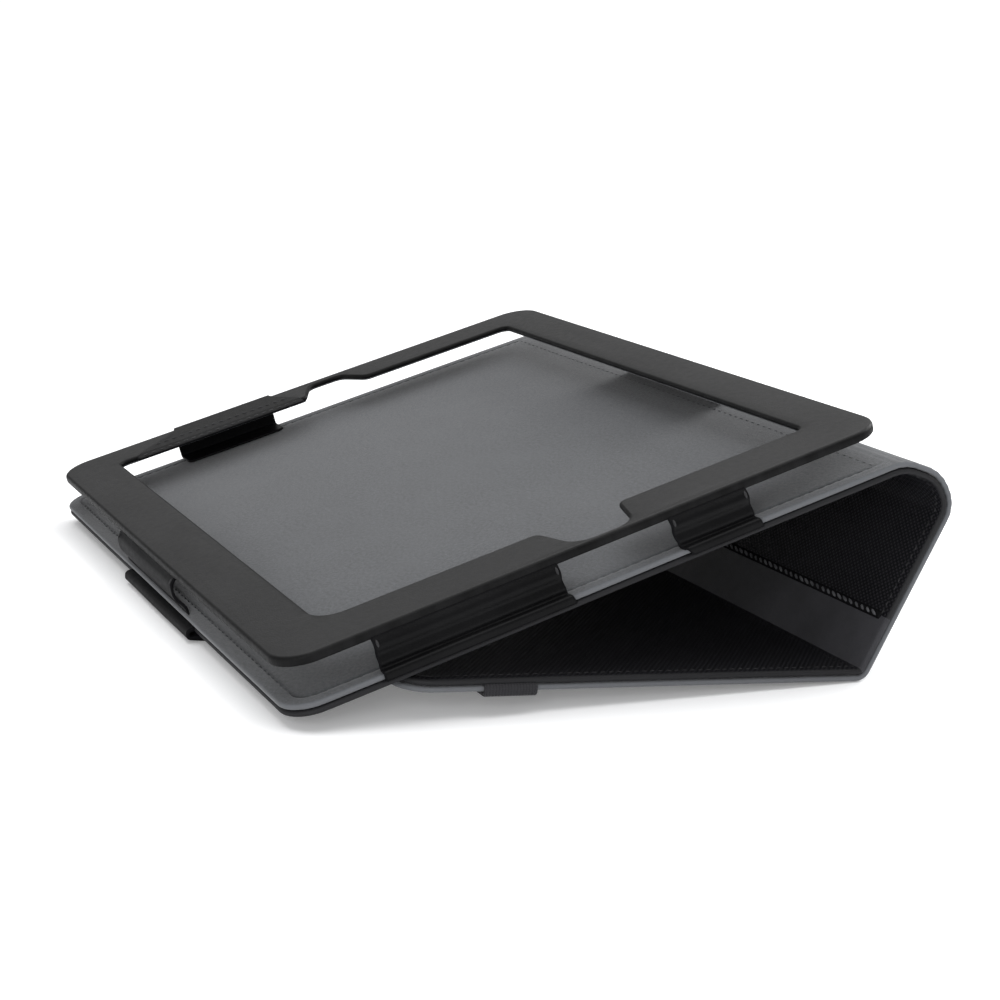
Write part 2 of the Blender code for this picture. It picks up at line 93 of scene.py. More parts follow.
def axis_place(name):
    """Place of a fold's axis in the plane across the case, as (Y, Z)."""
    return Vector(JOINTS[name]["pos_m"][1:])


SPINE_AXIS = axis_place("spine_fold")
MIDDLE_AXIS = axis_place("spine_middle_fold")
COVER_AXIS = axis_place("cover_fold")
STAND_AXIS = axis_place("stand_fold")
UP_SLOPE = Vector(JOINTS["flap_side_fold"]["axis"]).normalized().yz
NORMAL = UP_SLOPE.orthogonal()
PANEL_ORIGIN = SPINE_AXIS - UP_SLOPE * PANEL_LENGTH - NORMAL * HALF_SHEET


def box_centre(node):
    low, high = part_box(node)
    return (Vector(low) + Vector(high)) / 2


PROP_WAY = (box_centre("lower_cover_board").yz - STAND_AXIS).normalized()
PROP_NORMAL = PROP_WAY.orthogonal()


def run_place(a, b, across):
    return Vector((across, a, b))


def panel_section(y, z):
    """Point of the holder's flat frame, as (Y, Z) of the case."""
    return PANEL_ORIGIN + UP_SLOPE * y + NORMAL * z


def panel_place(x, z, y):
    return Vector((x, *panel_section(y, z)))


def low_edge_place(y, z, x):
    return Vector((x, *panel_section(y, z)))


def prop_place(x, height, along):
    return Vector((x, *(STAND_AXIS + PROP_WAY * along + PROP_NORMAL * height)))


# ---------------- lines

def way(angle):
    return Vector((math.cos(angle), math.sin(angle)))


def smooth(part):
    part = min(max(part, 0.0), 1.0)
    return part * part * (3 - 2 * part)


class Line:
    """Line in a plane: straight stretches joined by bends, through corners (a, b, radius)."""

    def __init__(self, corners):
        self.stretches = []
        self.bends = []
        travelled = 0.0
        place = Vector(corners[0][:2])
        for index in range(1, len(corners)):
            corner = Vector(corners[index][:2])
            ahead = corner - place
            angle = math.atan2(ahead.y, ahead.x)
            turn, cut, radius = 0.0, 0.0, 0.0
            if index < len(corners) - 1:
                radius = corners[index][2]
                after = Vector(corners[index + 1][:2]) - corner
                turn = math.remainder(math.atan2(after.y, after.x) - angle, 2 * math.pi)
                cut = radius * math.tan(abs(turn) / 2)
            self.stretches.append((travelled, place, angle, 0.0))
            travelled += ahead.length - cut
            if turn:
                place = place + way(angle) * (ahead.length - cut)
                length = radius * abs(turn)
                self.stretches.append((travelled, place, angle, math.copysign(1 / radius, turn)))
                self.bends.append((travelled, travelled + length / 2, travelled + length, cut))
                travelled += length
                place = corner + way(angle + turn) * cut
        self.length = travelled
        self.starts = [stretch[0] for stretch in self.stretches]

    def at(self, distance):
        """Place and direction at a distance along the line."""
        index = max(bisect.bisect_right(self.starts, distance) - 1, 0)
        start, place, angle, curvature = self.stretches[index]
        run = distance - start
        if not curvature:
            return place + way(angle) * run, angle
        turned = angle + curvature * run
        bow = Vector((math.sin(turned) - math.sin(angle), math.cos(angle) - math.cos(turned)))
        return place + bow / curvature, turned

    def offset(self, distance, height):
        place, angle = self.at(distance)
        return place + way(angle + math.pi / 2) * height

    def rows(self, span, step, fine):
        """Distances for a mesh's rows, close together in the bends."""
        marks = {span[0], span[1]}
        for start, _, end, _ in self.bends:
            marks.update(mark for mark in (start, end) if span[0] < mark < span[1])
        marks = sorted(marks)
        rows = []
        for low, high in zip(marks, marks[1:]):
            middle = (low + high) / 2
            bent = any(start <= middle <= end for start, _, end, _ in self.bends)
            count = max(1, math.ceil((high - low) / (fine if bent else step)))
            rows += [low + (high - low) * part / count for part in range(count)]
        return rows + [marks[-1]]


# Distances in millimetres from an edge at which a sheet's mesh has points
EDGE_STEPS = [0, 0.04, 0.12, 0.25, 0.45, 0.7, 1.0, 1.4, 2.0, 2.8, 3.6, 4.0, 4.25, 4.5, 4.75, 5.0, 5.4,
              6.4, 8.5]
THIN_STEPS = [0, 0.05, 0.15, 0.3, 0.5, 0.8, 1.3, 2.2]


# ---------------- sheets

class Sheet:
    """Sheet of some thickness that follows a line, with its edges rounded.

    span is its start and end along the line, sides its edges across it (a pair, or a function
    of the distance), layer its two heights above the line (also a pair or a function), and
    place turns the line's plane and the distance across into a point.  free says which ends have
    an edge of their own, shape adds to the height, and step, fine and across are the mesh's
    spacing on straight stretches, in bends and across.
    """

    def __init__(self, line, span, sides, layer, place, free=(False, False), corner=0.0,
                 rounding=0.4 * MM, shape=None, step=4 * MM, fine=0.6 * MM, edge_steps=THIN_STEPS,
                 across=4 * MM):
        self.line, self.span, self.place, self.free = line, span, place, free
        self.sides = sides if callable(sides) else (lambda distance: sides)
        self.layer = layer if callable(layer) else (lambda distance: layer)
        self.corner, self.rounding, self.shape = corner, rounding, shape
        self.step, self.fine, self.across = step, fine, across
        self.edge_steps = [value * MM for value in edge_steps]
        self.verts, self.faces, self.maps, self.edge, self.slots = [], [], [], [], []

    def end_gap(self, distance):
        """Distance along the line to the nearest free end."""
        ends = [distance - self.span[0]] if self.free[0] else []
        ends += [self.span[1] - distance] if self.free[1] else []
        return min(ends, default=math.inf)

    def inset(self, distance, x):
        """Distance from a point to the nearest free edge."""
        low, high = self.sides(distance)
        side = min(x - low, high - x)
        end = self.end_gap(distance)
        if side < self.corner and end < self.corner:
            return self.corner - math.hypot(self.corner - side, self.corner - end)
        return min(side, end)

    def squeeze(self, distance):
        """How far a row is drawn in at a rounded corner."""
        end = self.end_gap(distance)
        if end >= self.corner:
            return 0.0
        return self.corner - math.sqrt(max(self.corner ** 2 - (self.corner - end) ** 2, 0.0))

    def fullness(self, inset):
        """Share of the thickness that a point near a rounded edge has."""
        power = 2.2
        return (1 - (1 - min(max(inset, 0.0) / self.rounding, 1)) ** power) ** (1 / power)

    def mapped(self, distance, x):
        """Place on the metric map, carried on round the sheet's edges."""
        low, high = self.layer(distance)
        near, far = self.sides(distance)
        rest = (1 - self.fullness(self.inset(distance, x))) * (high - low) / 2
        if min(x - near, far - x) < self.rounding:
            x += math.copysign(rest, x - (near + far) / 2)
        elif self.free[0] and distance - self.span[0] < self.rounding:
            distance -= rest
        elif self.free[1] and self.span[1] - distance < self.rounding:
            distance += rest
        return x, distance

    def point(self, distance, x, side, lift=0.0):
        """Point on the sheet's upper (side 1) or lower (side -1) face."""
        low, high = self.layer(distance)
        inset = max(self.inset(distance, x), 0.0)
        fullness = self.fullness(inset)
        height = (low + high) / 2 + side * (high - low) / 2 * fullness
        if self.shape:
            height += self.shape(distance, x, inset, side)
        return self.place(*self.line.offset(distance, height + side * lift), x)

    def columns(self, distance):
        low, high = self.sides(distance)
        squeeze = self.squeeze(distance)
        low, high = low + squeeze, high - squeeze
        reach = min(1.0, 0.42 * (high - low) / self.edge_steps[-1])
        steps = [value * reach for value in self.edge_steps]
        start, end = low + steps[-1], high - steps[-1]
        widest = self.sides(self.span[0])[1] - self.sides(self.span[0])[0]
        count = max(1, math.ceil((widest - 2 * self.edge_steps[-1]) / self.across))
        middle = [start + (end - start) * part / count for part in range(1, count)]
        return [low + value for value in steps] + middle + [high - value for value in steps[::-1]]

    def bridge(self, near, far):
        """Faces between two rows of points."""
        for index in range(len(near) - 1):
            self.faces.append((near[index], near[index + 1], far[index + 1], far[index]))
            self.slots.append(0)

    def build(self):
        rows = self.line.rows(self.span, self.step, self.fine)
        if self.free[0]:
            rows += [self.span[0] + value for value in self.edge_steps]
        if self.free[1]:
            rows += [self.span[1] - value for value in self.edge_steps]
        rows = sorted({round(row / MM, 3) * MM for row in rows if self.span[0] <= row <= self.span[1] + 1e-7})
        rows[0], rows[-1] = self.span[0], self.span[1]
        grids = []
        for side in (1, -1):
            grid = []
            for distance in rows:
                line = []
                for x in self.columns(distance):
                    line.append(len(self.verts))
                    self.verts.append(self.point(distance, x, side))
                    self.maps.append(self.mapped(distance, x))
                    self.edge.append(max(0.0, 1 - self.inset(distance, x) / EDGE_FADE))
                grid.append(line)
            grids.append(grid)
            for near, far in zip(grid, grid[1:]):
                self.bridge(near, far)
        for free, row in zip(self.free, (0, -1)):
            if not free:
                self.bridge(grids[0][row], grids[1][row])
        return self

    def frame_at(self, distance, x, side, along):
        """Axes of a stitch: along it, across it and out of the sheet."""
        step = 0.2 * MM
        middle = self.point(distance, x, side)
        ahead = self.point(distance + along[0] * step, x + along[1] * step, side) - middle
        aside = self.point(distance - along[1] * step, x + along[0] * step, side) - middle
        out = ahead.cross(aside).normalized()
        beyond = self.point(distance, x, side, 0.1 * MM) - middle
        if out.dot(beyond) < 0:
            out = -out
        ahead.normalize()
        return middle, ahead, out.cross(ahead), out

    def stitch(self, corners, side, closed=False, pitch=STITCH_PITCH, length=2.5 * MM, width=0.55 * MM,
               slant=0.0, lift=0.05 * MM):
        """Row of stitches along corners given as (distance, x)."""
        points = [Vector(corner) for corner in corners]
        if closed:
            points.append(points[0])
        for start, end in zip(points, points[1:]):
            gap = end - start
            count = max(1, round(gap.length / pitch))
            along = gap.normalized()
            turned = Matrix.Rotation(slant, 2) @ along
            for index in range(count):
                place = start + gap * (index + 0.5) / count
                middle, ahead, aside, out = self.frame_at(place.x, place.y, side, turned)
                self.add_stitch(middle + out * lift, ahead, aside, out, length, width, (place.y, place.x))
        return self

    def add_stitch(self, middle, ahead, aside, out, length, width, mapped):
        """One stitch: a short closed tube whose ends dip into the sheet."""
        base = len(self.verts)
        around, rings = 6, 5
        for ring in range(rings):
            part = ring / (rings - 1) * 2 - 1
            swell = max(1 - part ** 2, 0.02) ** 0.45 * width / 2
            sag = 0.12 * MM * part ** 4
            for turn in range(around):
                angle = 2 * math.pi * turn / around
                offset = ahead * part * length / 2 + aside * math.cos(angle) * swell
                self.verts.append(middle + offset + out * (math.sin(angle) * swell * 0.8 - sag))
                self.maps.append((mapped[0] + math.cos(angle) * swell, mapped[1] + part * length / 2))
                self.edge.append(0.0)
        for ring in range(rings - 1):
            for turn in range(around):
                after = (turn + 1) % around
                low, high = base + ring * around, base + (ring + 1) * around
                self.faces.append((low + turn, low + after, high + after, high + turn))
                self.slots.append(1)
        for ring in (0, rings - 1):
            self.faces.append(tuple(base + ring * around + turn for turn in range(around)))
            self.slots.append(1)

    def finish(self, name, *materials):
        return finish_mesh(name, self.verts, self.faces, self.maps, self.edge, self.slots, materials)


def add_object(name, data):
    obj = bpy.data.objects.new(name, data)
    SCENE.collection.objects.link(obj)
    return obj


def finish_mesh(name, verts, faces, maps, edge, slots, materials):
    """Object of a mesh with its metric map, its edge attribute and smooth shading."""
    mesh = bpy.data.meshes.new(name)
    mesh.from_pydata(verts, [], faces)
    uv = mesh.uv_layers.new(name=CLOTH_UV)
    loops = np.zeros(len(mesh.loops), np.int32)
    mesh.loops.foreach_get("vertex_index", loops)
    uv.data.foreach_set("uv", np.array(maps, np.float32)[loops].ravel())
    attribute = mesh.attributes.new("edge", "FLOAT", "POINT")
    attribute.data.foreach_set("value", np.array(edge, np.float32))
    mesh.polygons.foreach_set("material_index", np.array(slots, np.int32))
    for material in materials:
        mesh.materials.append(material)
    shell = bmesh.new()
    shell.from_mesh(mesh)
    bmesh.ops.remove_doubles(shell, verts=shell.verts, dist=0.000002)
    bmesh.ops.dissolve_degenerate(shell, edges=shell.edges, dist=0.000001)
    bmesh.ops.recalc_face_normals(shell, faces=shell.faces)
    shell.to_mesh(mesh)
    shell.free()
    mesh.shade_smooth()
    mesh.set_sharp_from_angle(angle=math.radians(42))
    return add_object(name, mesh)


# ---------------- materials

class Shader:
    """Small helper that builds a material's nodes."""

    def __init__(self, name):
        self.material = bpy.data.materials.new(name)
        self.material.use_nodes = True
        self.tree = self.material.node_tree
        self.shader = self.tree.nodes["Principled BSDF"]
        uv = self.node("ShaderNodeUVMap", uv_map=CLOTH_UV).outputs[0]
        self.millimetres = self.scaled(uv, (1000, 1000, 1000))

    def feed(self, socket, value):
        if isinstance(value, bpy.types.NodeSocket):
            self.tree.links.new(value, socket)
        else:
            socket.default_value = value

    def node(self, kind, inputs=None, **settings):
        """New node; an input is fed a value or another node's output."""
        node = self.tree.nodes.new(kind)
        for key, value in settings.items():
            setattr(node, key, value)
        for key, value in (inputs or {}).items():
            self.feed(node.inputs[key], value)
        return node

    def scaled(self, vector, scale, turn=0.0):
        inputs = {"Vector": vector, "Scale": scale, "Rotation": (0, 0, turn)}
        return self.node("ShaderNodeMapping", inputs).outputs[0]

    def axes(self):
        """Places across and along the metric map, in millimetres."""
        return self.node("ShaderNodeSeparateXYZ", {"Vector": self.millimetres}).outputs[:2]

    def noise(self, size, detail=2.0, roughness=0.5, vector=None):
        """Noise with features of a size in millimetres."""
        inputs = {"Vector": vector or self.millimetres, "Scale": 1 / size, "Detail": detail,
                  "Roughness": roughness}
        return self.node("ShaderNodeTexNoise", inputs).outputs["Fac"]

    def cells(self, size):
        """Distance to the borders of cells of a size in millimetres."""
        inputs = {"Vector": self.millimetres, "Scale": 1 / size}
        return self.node("ShaderNodeTexVoronoi", inputs, feature="DISTANCE_TO_EDGE").outputs["Distance"]

    def math(self, operation, first, second=0.0):
        return self.node("ShaderNodeMath", {0: first, 1: second}, operation=operation).outputs[0]

    def times(self, first, second):
        return self.math("MULTIPLY", first, second)

    def remap(self, value, low, high, to_low=0.0, to_high=1.0):
        """Smooth step between two values."""
        inputs = {"Value": value, "From Min": low, "From Max": high, "To Min": to_low, "To Max": to_high}
        return self.node("ShaderNodeMapRange", inputs, interpolation_type="SMOOTHSTEP").outputs["Result"]

    def mix(self, factor, first, second):
        inputs = {0: factor}
        for key, value in ((6, first), (7, second)):
            inputs[key] = (*value, 1) if isinstance(value, tuple) else value
        return self.node("ShaderNodeMix", inputs, data_type="RGBA").outputs[2]

    def edge(self):
        return self.node("ShaderNodeAttribute", attribute_name="edge").outputs["Fac"]

    def bump(self, height, strength, distance):
        inputs = {"Strength": strength, "Distance": distance, "Height": height}
        return self.node("ShaderNodeBump", inputs).outputs[0]

    def done(self, colour, roughness, normal, specular=0.5, sheen=0.0):
        inputs = {"Base Color": colour, "Roughness": roughness, "Normal": normal,
                  "Specular IOR Level": specular}
        if sheen:
            inputs.update({"Sheen Weight": sheen, "Sheen Roughness": 0.45})
        for key, value in inputs.items():
            self.feed(self.shader.inputs[key], value)
        return self.material


def leather(name, dark, light, edge_wear_and_shade, roughness, grain=0.9, depth=0.05 * MM, specular=0.45):
    """Grained leather: pebbles, fine pores, slow colour changes and dull edges in an edge colour, which is
    wear on most leathers and painted shade that darkens the frame's lip.
    """
    shader = Shader(name)
    pebbles = shader.remap(shader.cells(grain), 0.0, 0.28)
    pores = shader.noise(0.28, 3.0, 0.6)
    waves = shader.noise(34, 3.0, 0.55)
    colour = shader.mix(shader.remap(waves, 0.35, 0.68), dark, light)
    colour = shader.mix(shader.times(pebbles, 0.35), colour, light)
    patchy = shader.remap(shader.noise(5, 3.0), 0.3, 0.7, 0.25, 0.9)
    wear_and_shade = shader.times(shader.edge(), patchy)
    # edge colour: wear, and on the frame painted shade that darkens the lip
    colour = shader.mix(wear_and_shade, colour, edge_wear_and_shade)
    rough = shader.remap(shader.noise(2.4, 3.0), 0.25, 0.75, roughness - 0.03, roughness + 0.04)
    height = shader.math("ADD", pebbles, shader.times(pores, 0.5))
    normal = shader.bump(height, 0.55, depth)
    gloss = shader.remap(shader.edge(), 0.1, 0.6, specular, specular * 0.3)
    return shader.done(colour, rough, normal, gloss)


def woven_textile():
    """Black textile woven in small staggered raised dots whose tops are painted lighter as a painted
    highlight, with smooth leather round its edges.
    """
    shader = Shader("woven_textile")
    across, along = (shader.math("COSINE", shader.times(axis, math.pi / pitch))
                     for axis, pitch in zip(shader.axes(), (0.95, 0.8)))
    inner = shader.remap(shader.edge(), 0.04, 0.3, 1.0, 0.0)
    dots = shader.times(shader.remap(shader.times(across, along), 0.05, 0.75), inner)
    fibres = shader.noise(0.22, 3.0, 0.65)
    patches = shader.noise(22, 3.0, 0.5)
    dark = shader.mix(shader.remap(patches, 0.3, 0.7), (0.0022, 0.0022, 0.0034), (0.004, 0.004, 0.0056))
    # the dots' lighter colour is a painted highlight on their raised tops
    colour = shader.mix(shader.times(dots, 0.7), dark, (0.034, 0.034, 0.04))
    colour = shader.mix(inner, (0.013, 0.013, 0.0145), colour)
    height = shader.math("ADD", dots, shader.times(fibres, 0.22))
    normal = shader.bump(height, 0.9, 0.22 * MM)
    rough = shader.remap(fibres, 0.3, 0.7, 0.52, 0.7)
    return shader.done(colour, rough, normal, 0.22)


def suede(name, dark, light, cut_edge):
    """Brushed suede: mottled nap, fine fibres and a lighter cut edge."""
    shader = Shader(name)
    nap = shader.noise(16, 3.0, 0.5)
    speckle = shader.noise(1.1, 4.0, 0.7)
    fibres = shader.noise(0.2, 3.0, 0.7)
    colour = shader.mix(shader.remap(speckle, 0.3, 0.72), dark, light)
    colour = shader.mix(shader.remap(nap, 0.35, 0.7, 0.0, 0.25), colour, light)
    colour = shader.mix(shader.times(shader.edge(), 0.85), colour, cut_edge)
    height = shader.math("ADD", speckle, shader.times(fibres, 0.5))
    normal = shader.bump(height, 0.7, 0.12 * MM)
    rough = shader.remap(fibres, 0.3, 0.7, 0.82, 0.96)
    return shader.done(colour, rough, normal, 0.2, 0.25)


def elastic_webbing():
    """Woven elastic with ribs along it."""
    shader = Shader("elastic_webbing")
    ribs, picks = (shader.math("ABSOLUTE", shader.math("SINE", shader.times(axis, math.pi / pitch)))
                   for axis, pitch in zip(shader.axes(), (0.9, 0.5)))
    height = shader.math("ADD", ribs, shader.times(picks, 0.4))
    fibres = shader.noise(0.2, 3.0)
    colour = shader.mix(shader.times(height, 0.5), (0.008, 0.008, 0.010), (0.026, 0.025, 0.029))
    colour = shader.mix(shader.remap(fibres, 0.5, 0.75, 0.0, 0.3), colour, (0.04, 0.039, 0.043))
    return shader.done(colour, 0.75, shader.bump(height, 0.7, 0.14 * MM), 0.3, 0.1)


def thread(name, dark, light):
    """Twisted sewing thread."""
    shader = Shader(name)
    twist = shader.noise(0.3, 3.0, 0.6, shader.scaled(shader.millimetres, (1, 1, 1), 0.7))
    tone = shader.noise(9, 2.0)
    colour = shader.mix(shader.remap(tone, 0.3, 0.7), dark, light)
    colour = shader.mix(shader.remap(twist, 0.55, 0.8, 0.0, 0.4), colour, light)
    rough = shader.remap(twist, 0.3, 0.7, 0.5, 0.7)
    return shader.done(colour, rough, shader.bump(twist, 0.5, 0.06 * MM))


def brushed_steel():
    """Hidden magnets and catch plate."""
    shader = Shader("steel")
    place = shader.node("ShaderNodeTexCoord").outputs["Object"]
    scratches = shader.noise(1, 3.0, 0.6, shader.scaled(place, (400, 3000, 3000)))
    colour = shader.mix(shader.remap(scratches, 0.3, 0.7), (0.42, 0.43, 0.45), (0.58, 0.59, 0.61))
    shader.shader.inputs["Metallic"].default_value = 1.0
    rough = shader.remap(scratches, 0.3, 0.7, 0.28, 0.42)
    return shader.done(colour, rough, shader.bump(scratches, 0.2, 0.02 * MM))


# the frame's edge colour is near black: painted shade on its lip
FRAME_LEATHER = leather(
    "frame_leather", dark=(0.0075, 0.0075, 0.008), light=(0.0112, 0.0112, 0.0117),
    edge_wear_and_shade=(0.002, 0.002, 0.002), roughness=0.5, depth=0.035 * MM, specular=0.31)
WALL_LEATHER = leather(
    "wall_leather", dark=(0.003, 0.003, 0.0033), light=(0.0055, 0.0055, 0.006),
    edge_wear_and_shade=(0.008, 0.008, 0.009), roughness=0.34, grain=0.8, depth=0.03 * MM, specular=0.09)
TAB_LEATHER = leather(
    "tab_leather", dark=(0.006, 0.006, 0.0065), light=(0.01, 0.01, 0.011),
    edge_wear_and_shade=(0.008, 0.008, 0.009), roughness=0.5, grain=0.8, depth=0.03 * MM, specular=0.05)
STRIP_LEATHER = leather(
    "strip_leather", dark=(0.034, 0.034, 0.038), light=(0.052, 0.052, 0.058),
    edge_wear_and_shade=(0.03, 0.03, 0.034), roughness=0.5, grain=0.7)
TEXTILE = woven_textile()
SUEDE = suede("suede_lining", (0.042, 0.044, 0.048), (0.078, 0.082, 0.089), (0.135, 0.14, 0.15))
ELASTIC = elastic_webbing()
DARK_THREAD = thread("dark_thread", (0.007, 0.007, 0.008), (0.019, 0.019, 0.021))
GREY_THREAD = thread("grey_thread", (0.03, 0.031, 0.034), (0.06, 0.062, 0.067))
SEAM_THREAD = thread("seam_thread", (0.055, 0.056, 0.062), (0.12, 0.122, 0.13))
STEEL = brushed_steel()


# ---------------- the long run

FREE_END = STAND_AXIS + PROP_WAY * LOWER_COVER
LOW_EDGE = PANEL_ORIGIN + NORMAL * HALF_SHEET
RUN = Line([
    (*LOW_EDGE, 0),
    (*SPINE_AXIS, 14 * MM),
    (*MIDDLE_AXIS, 12 * MM),
    (*COVER_AXIS, 8 * MM),
    (*STAND_AXIS, 2.6 * MM),
    (*FREE_END, 0),
])
SPINE_BEND, MIDDLE_BEND, COVER_BEND, STAND_BEND = RUN.bends
FIRST_SPLIT = (SPINE_BEND[2] + MIDDLE_BEND[0]) / 2
SECOND_SPLIT = (MIDDLE_BEND[2] + COVER_BEND[0]) / 2
SEAM = COVER_BEND[2] + SEAM_FROM_FOLD - COVER_BEND[3]
STAND_MIDDLE = STAND_BEND[1]
RUN_END = RUN.length


def undulation(distance, x):
    """Slow unevenness of the sheet, the same for its skin and its lining."""
    slow = math.sin(x / (37 * MM) + 0.7) * math.sin(distance / (29 * MM) + 0.4)
    quick = math.sin(x / (17 * MM) + distance / (23 * MM) + 1.9)
    return (0.09 * slow + 0.05 * quick) * MM


def creases(distance, x):
    """Soft creases along X beside the folds."""
    total = 0.0
    for start, middle, end, _ in RUN.bends[:3]:
        reach = (end - start) / 2 + 3 * MM
        away = abs(distance - middle) / reach
        if away < 1:
            wobble = 0.9 * math.sin(x / (26 * MM) + middle / MM) + 0.5 * math.sin(x / (9 * MM))
            total += (1 - away ** 2) * math.sin(2 * math.pi * distance / (2.7 * MM) + wobble)
    return total * 0.07 * MM


def run_shape(groove=None):
    """Shape of a run piece; groove is the distance to the stitching that draws the lining in."""
    def shape(distance, x, inset, side):
        height = undulation(distance, x) + creases(distance, x)
        if groove and side > 0:
            gap = groove(distance, x, inset)
            height -= 0.2 * MM * math.exp(-(gap / (0.55 * MM)) ** 2) * smooth(inset / (1.5 * MM))
        return height
    return shape


def edge_groove(distance, x, inset):
    return inset - STITCH_INSET


PANEL_STITCH_END = 187 * MM


def panel_groove(distance, x, inset):
    if distance > PANEL_STITCH_END:
        return PANEL_STITCH_END - distance
    return min(inset - STITCH_INSET, PANEL_STITCH_END - distance, key=abs)


def side_groove(distance, x, inset):
    return LINING_HALF - abs(x) - STITCH_INSET


def bend_over(obj, line, middle, before, after, place=run_place):
    """Bake a piece's transform into its mesh; the ends of a blend along the tangent at the middle of a bend
    are worked out but not used.
    """
    spot, angle = line.at(middle)
    start = place(*(spot - way(angle) * before), 0)
    end = place(*(spot + way(angle) * after), 0)
    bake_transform(obj)


def run_piece(span, free, half, layer, rounding, shape):
    return Sheet(RUN, span, (-half, half), layer, run_place, free, SHEET_CORNER, rounding, shape,
                 fine=0.45 * MM, edge_steps=EDGE_STEPS).build()


def skin_piece(span, free=(False, False)):
    return run_piece(span, free, SKIN_HALF, SKIN_LAYER, SKIN_ROUNDING, run_shape())


def lining_piece(span, groove, free=(False, False)):
    return run_piece(span, free, LINING_HALF, LINING_LAYER, LINING_ROUNDING, run_shape(groove))


def rounded_row(start, end, half, inset, corner=SHEET_CORNER):
    """Stitch line (distance, x) that goes round a sheet's two rounded corners at its end."""
    sign = math.copysign(1, end - start)
    radius = corner - inset
    points = []
    for step in range(9):
        angle = math.pi / 2 * step / 8
        reach = end - sign * corner + sign * math.sin(angle) * radius
        points.append((reach, half - corner + math.cos(angle) * radius))
    mirrored = [(distance, -x) for distance, x in points[::-1]]
    return [(start, half - inset)] + points + mirrored + [(start, -half + inset)]


def cross_row(distance):
    return [(distance, -CROSS_ROW), (distance, CROSS_ROW)]


def side_rows(sheet, edge, side, **stitch):
    for x in (edge, -edge):
        sheet.stitch([(sheet.span[0], x), (sheet.span[1], x)], side, **stitch)


def build_back():
    span = (0.0, FIRST_SPLIT)
    skin = skin_piece(span, (True, False))
    skin.stitch(rounded_row(FIRST_SPLIT, 0.0, SKIN_HALF, SKIN_INSET), -1, **FINE_STITCH)
    skin = skin.finish("back_outside", TEXTILE, DARK_THREAD)
    bend_over(skin, RUN, SPINE_BEND[1], 5 * MM, 5 * MM)
    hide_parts("back_skin", "back_board")
    lining = lining_piece(span, panel_groove, (True, False))
    lining.stitch(rounded_row(PANEL_STITCH_END, 0.0, LINING_HALF, STITCH_INSET), 1, closed=True)
    lining = lining.finish("back_inside", SUEDE, GREY_THREAD)
    bend_over(lining, RUN, SPINE_BEND[1], 5 * MM, 5 * MM)
    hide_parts("back_lining")


def build_spine():
    span = (FIRST_SPLIT, SECOND_SPLIT)
    skin = skin_piece(span)
    side_rows(skin, SKIN_HALF - SKIN_INSET, -1, **FINE_STITCH)
    skin = skin.finish("spine_outside", TEXTILE, DARK_THREAD)
    lining = lining_piece(span, side_groove)
    side_rows(lining, LINING_HALF - STITCH_INSET, 1)
    lining = lining.finish("spine_inside", SUEDE, GREY_THREAD)
    for piece in (skin, lining):
        bend_over(piece, RUN, MIDDLE_BEND[1], 5 * MM, 4.2 * MM)
    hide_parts("spine_inner_skin", "spine_outer_skin", "spine_fold", "spine_middle_fold")
    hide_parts("spine_inner_lining", "spine_outer_lining")


def build_upper_cover():
    span = (SECOND_SPLIT, SEAM)
    skin = skin_piece(span)
    side_rows(skin, SKIN_HALF - SKIN_INSET, -1, **FINE_STITCH)
    skin = skin.finish("upper_cover_outside", TEXTILE, DARK_THREAD)
    lining = lining_piece(span, side_groove)
    side_rows(lining, LINING_HALF - STITCH_INSET, 1)
    lining.stitch(cross_row(SEAM - 1.6 * MM), 1)
    lining = lining.finish("upper_cover_inside", SUEDE, GREY_THREAD)
    for piece in (skin, lining):
        bend_over(piece, RUN, COVER_BEND[1], 3.3 * MM, 4.2 * MM)
    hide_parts("upper_cover_skin", "upper_cover_board", "cover_fold")


def build_lower_cover():
    strip = skin_piece((SEAM, STAND_MIDDLE))
    strip = strip.finish("cover_strip", STRIP_LEATHER)
    skin = skin_piece((STAND_MIDDLE, RUN_END), (False, True))
    skin.stitch(rounded_row(STAND_MIDDLE, RUN_END, SKIN_HALF, SKIN_INSET), -1, **FINE_STITCH)
    skin.stitch(cross_row(STAND_MIDDLE + 4 * MM), -1, **FINE_STITCH)
    skin = skin.finish("lower_cover_outside", TEXTILE, DARK_THREAD)
    lining = lining_piece((SEAM, RUN_END), edge_groove, (False, True))
    lining.stitch(rounded_row(SEAM, RUN_END, LINING_HALF, STITCH_INSET), 1)
    lining = lining.finish("cover_inside", SUEDE, GREY_THREAD)
    for piece in (strip, skin, lining):
        bend_over(piece, RUN, STAND_MIDDLE, 2.4 * MM, 2.4 * MM)
    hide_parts("cover_strip_skin", "cover_strip_board")
    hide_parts("lower_cover_skin", "lower_cover_board", "stand_fold")
    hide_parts("upper_cover_lining", "lower_cover_lining")


